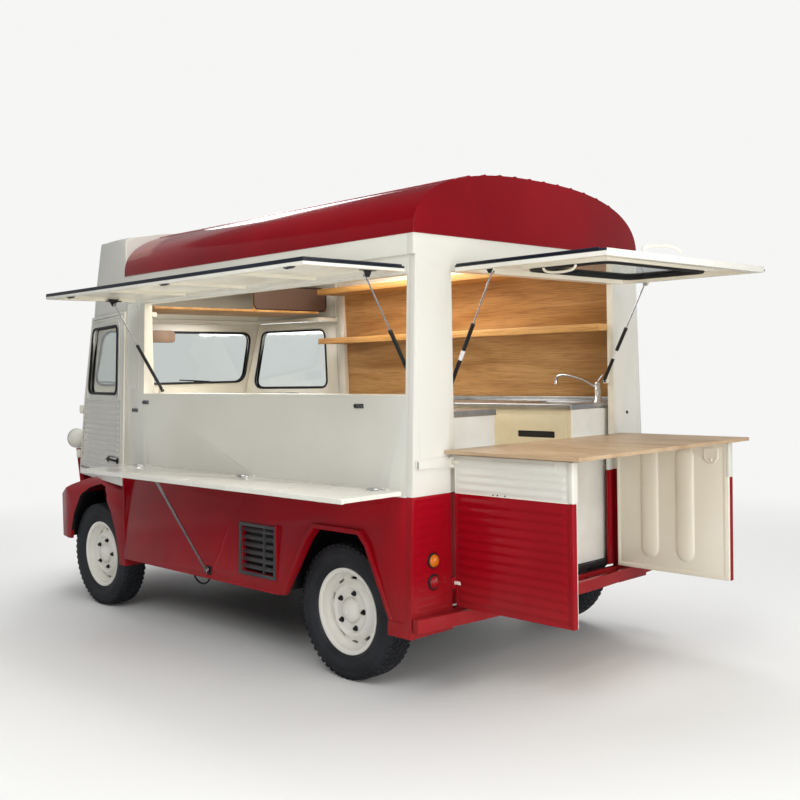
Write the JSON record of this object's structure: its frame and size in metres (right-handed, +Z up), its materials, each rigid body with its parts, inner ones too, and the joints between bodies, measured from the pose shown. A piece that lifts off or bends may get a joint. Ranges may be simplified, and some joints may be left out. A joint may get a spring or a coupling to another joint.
{
  "type": "food truck",
  "caption": "Corrugated forward-control van fitted as a food truck, with a side serving hatch and shelf, rear tailgate, half doors and a raised roof.",
  "frame": {"origin": "middle of the underside of the whole object's box with its hatches open, on the ground; the van's own middle plane is 280.6 mm to the right of it (y = -0.2806 m) and its rear axle 1074 mm behind it", "axes": "+X forward along the van, +Y to the van's left, the serving side, +Z up"},
  "size_m": [5.052, 2.53, 2.53],
  "materials": {
    "cream_paint": "gloss cream enamel",
    "red_paint": "gloss wine red enamel",
    "hatch_paint": "cream painted aluminium panel",
    "chassis_black": "black underbody paint",
    "window_glass": "clear safety glass",
    "tyre_rubber": "black tyre rubber",
    "wheel_paint": "cream painted steel wheel",
    "oak": "oiled oak panel",
    "board_ply": "varnished plywood board",
    "cabinet_laminate": "cream laminate",
    "worktop_steel": "brushed stainless steel",
    "tap_chrome": "polished chrome",
    "seat_vinyl": "black vinyl",
    "vent_plastic": "black moulded louvre",
    "lamp_lens": "moulded lamp lens",
    "black_plastic": "black plastic",
    "strut_black": "black painted gas cylinder",
    "strut_steel": "bright steel rod"
  },
  "bodies": {
    "vehicle": {"chassis_floor": "chassis_black", "left_upper_side": "cream_paint", "left_lower_side": "red_paint", "right_upper_side": "cream_paint", "right_lower_side": "red_paint", "rear_upper_frame": "cream_paint", "rear_lower_corners": "red_paint", "roof": "red_paint", "cab_fairing": "cream_paint", "cab_frame": "cream_paint", "windscreen": "window_glass", "nose_panel": "cream_paint", "front_wings": "red_paint", "bumpers": "red_paint", "engine_block": "chassis_black", "axles": "chassis_black", "oak_lining": "oak", "kitchen_counters": "cabinet_laminate", "worktops": "worktop_steel", "mixer_tap": "tap_chrome", "overhead_shelf": "oak", "cab_seats": "seat_vinyl", "side_vent": "vent_plastic", "rear_board": "board_ply", "headlights": "cream_paint", "rear_lamps": "lamp_lens", "sill_lead": "black_plastic"},
    "bonnet": {"bonnet": "cream_paint"},
    "steering_wheel": {"steering_wheel": "black_plastic"},
    "left_knuckle": {"left_knuckle": "chassis_black"},
    "right_knuckle": {"right_knuckle": "chassis_black"},
    "front_left_wheel": {"front_left_rim": "wheel_paint", "front_left_tyre": "tyre_rubber"},
    "front_right_wheel": {"front_right_rim": "wheel_paint", "front_right_tyre": "tyre_rubber"},
    "rear_left_wheel": {"rear_left_rim": "wheel_paint", "rear_left_tyre": "tyre_rubber"},
    "rear_right_wheel": {"rear_right_rim": "wheel_paint", "rear_right_tyre": "tyre_rubber"},
    "left_cab_door": {"left_cab_door": "cream_paint", "left_door_glass": "window_glass"},
    "right_cab_door": {"right_cab_door": "cream_paint", "right_door_glass": "window_glass"},
    "awning": {"awning": "hatch_paint"},
    "awning_strut_barrels": {"awning_strut_barrels": "strut_black"},
    "awning_strut_rods": {"awning_strut_rods": "strut_steel"},
    "serving_shelf": {"serving_shelf": "cream_paint"},
    "shelf_stay": {"shelf_stay": "strut_steel"},
    "tailgate": {"tailgate": "hatch_paint", "tailgate_window": "window_glass"},
    "gate_strut_barrels": {"gate_strut_barrels": "strut_black"},
    "gate_strut_rods": {"gate_strut_rods": "strut_steel"},
    "left_rear_door": {"left_rear_door": "cream_paint"},
    "right_rear_door": {"right_rear_door": "cream_paint"}
  },
  "joints": [
    {"name": "left_steer", "type": "hinge", "parent": "vehicle", "child": "left_knuckle", "pos_m": [1.453, 0.41936, 0.345], "axis": [0, 0, 1], "range_deg": [-28, 28]},
    {"name": "right_steer", "type": "hinge", "parent": "vehicle", "child": "right_knuckle", "pos_m": [1.453, -0.98064, 0.345], "axis": [0, 0, 1], "range_deg": [-28, 28]},
    {"name": "steering_wheel_turn", "type": "hinge", "parent": "vehicle", "child": "steering_wheel", "pos_m": [1.726, 0.11936, 1.29], "axis": [-0.4695, 0, 0.8829], "range_deg": [-504, 504]},
    {"name": "front_left_spin", "type": "hinge", "parent": "left_knuckle", "child": "front_left_wheel", "pos_m": [1.453, 0.53936, 0.345], "axis": [0, 1, 0], "continuous": true},
    {"name": "front_right_spin", "type": "hinge", "parent": "right_knuckle", "child": "front_right_wheel", "pos_m": [1.453, -1.10064, 0.345], "axis": [0, 1, 0], "continuous": true},
    {"name": "rear_left_spin", "type": "hinge", "parent": "vehicle", "child": "rear_left_wheel", "pos_m": [-1.074, 0.53936, 0.345], "axis": [0, 1, 0], "continuous": true},
    {"name": "rear_right_spin", "type": "hinge", "parent": "vehicle", "child": "rear_right_wheel", "pos_m": [-1.074, -1.10064, 0.345], "axis": [0, 1, 0], "continuous": true},
    {"name": "left_cab_door_hinge", "type": "hinge", "parent": "vehicle", "child": "left_cab_door", "pos_m": [1.96194, 0.44723, 1.391], "axis": [0.2135, -0.009, -0.9769], "range_deg": [0, 65]},
    {"name": "right_cab_door_hinge", "type": "hinge", "parent": "vehicle", "child": "right_cab_door", "pos_m": [1.96194, -1.00851, 1.391], "axis": [-0.2135, -0.009, 0.9769], "range_deg": [0, 65]},
    {"name": "bonnet_hinge", "type": "hinge", "parent": "vehicle", "child": "bonnet", "pos_m": [1.978, -0.28064, 1.384], "axis": [0, -1, 0], "range_deg": [0, 50]},
    {"name": "awning_hinge", "type": "hinge", "parent": "vehicle", "child": "awning", "pos_m": [-0.404, 0.66496, 2.032], "axis": [-1, 0, 0], "range_deg": [0, 87.6]},
    {"name": "awning_strut_tilt", "type": "hinge", "parent": "vehicle", "child": "awning_strut_barrels", "pos_m": [-0.404, 0.54436, 1.457], "axis": [1, 0, 0], "range_deg": [0, 20]},
    {"name": "awning_strut_slide", "type": "slide", "parent": "awning_strut_barrels", "child": "awning_strut_rods", "axis": [0, 0.5123, 0.8588], "range_m": [-0.235, 0]},
    {"name": "shelf_hinge", "type": "hinge", "parent": "vehicle", "child": "serving_shelf", "pos_m": [-0.374, 0.68809, 0.997], "axis": [1, 0, 0], "range_deg": [0, 90]},
    {"name": "shelf_stay_swing", "type": "hinge", "parent": "vehicle", "child": "shelf_stay", "pos_m": [0.006, 0.71686, 0.431], "axis": [0, 0.8669, -0.4985], "range_deg": [0, 90]},
    {"name": "tailgate_hinge", "type": "hinge", "parent": "vehicle", "child": "tailgate", "pos_m": [-1.671, -0.28064, 2.045], "axis": [0, -1, 0], "range_deg": [0, 90]},
    {"name": "gate_strut_tilt", "type": "hinge", "parent": "vehicle", "child": "gate_strut_barrels", "pos_m": [-1.589, -0.28064, 1.474], "axis": [0, -1, 0], "range_deg": [-30, 0]},
    {"name": "gate_strut_slide", "type": "slide", "parent": "gate_strut_barrels", "child": "gate_strut_rods", "axis": [-0.4606, 0, 0.8876], "range_m": [-0.26, 0]},
    {"name": "left_rear_door_hinge", "type": "hinge", "parent": "vehicle", "child": "left_rear_door", "pos_m": [-1.649, 0.41436, 0.78], "axis": [0, 0, 1], "range_deg": [0, 90]},
    {"name": "right_rear_door_hinge", "type": "hinge", "parent": "vehicle", "child": "right_rear_door", "pos_m": [-1.649, -0.97564, 0.78], "axis": [0, 0, -1], "range_deg": [0, 90]}
  ],
  "couplings": [
    {"joint": "right_steer", "follows": "left_steer", "ratio": 1},
    {"joint": "steering_wheel_turn", "follows": "left_steer", "ratio": 18},
    {"joint": "awning_strut_tilt", "follows": "awning_hinge", "ratio": 0.21275},
    {"joint": "awning_strut_slide", "follows": "awning_hinge", "m_per_rad": -0.14866},
    {"joint": "gate_strut_tilt", "follows": "tailgate_hinge", "ratio": -0.23592},
    {"joint": "gate_strut_slide", "follows": "tailgate_hinge", "m_per_rad": -0.13807}
  ]
}
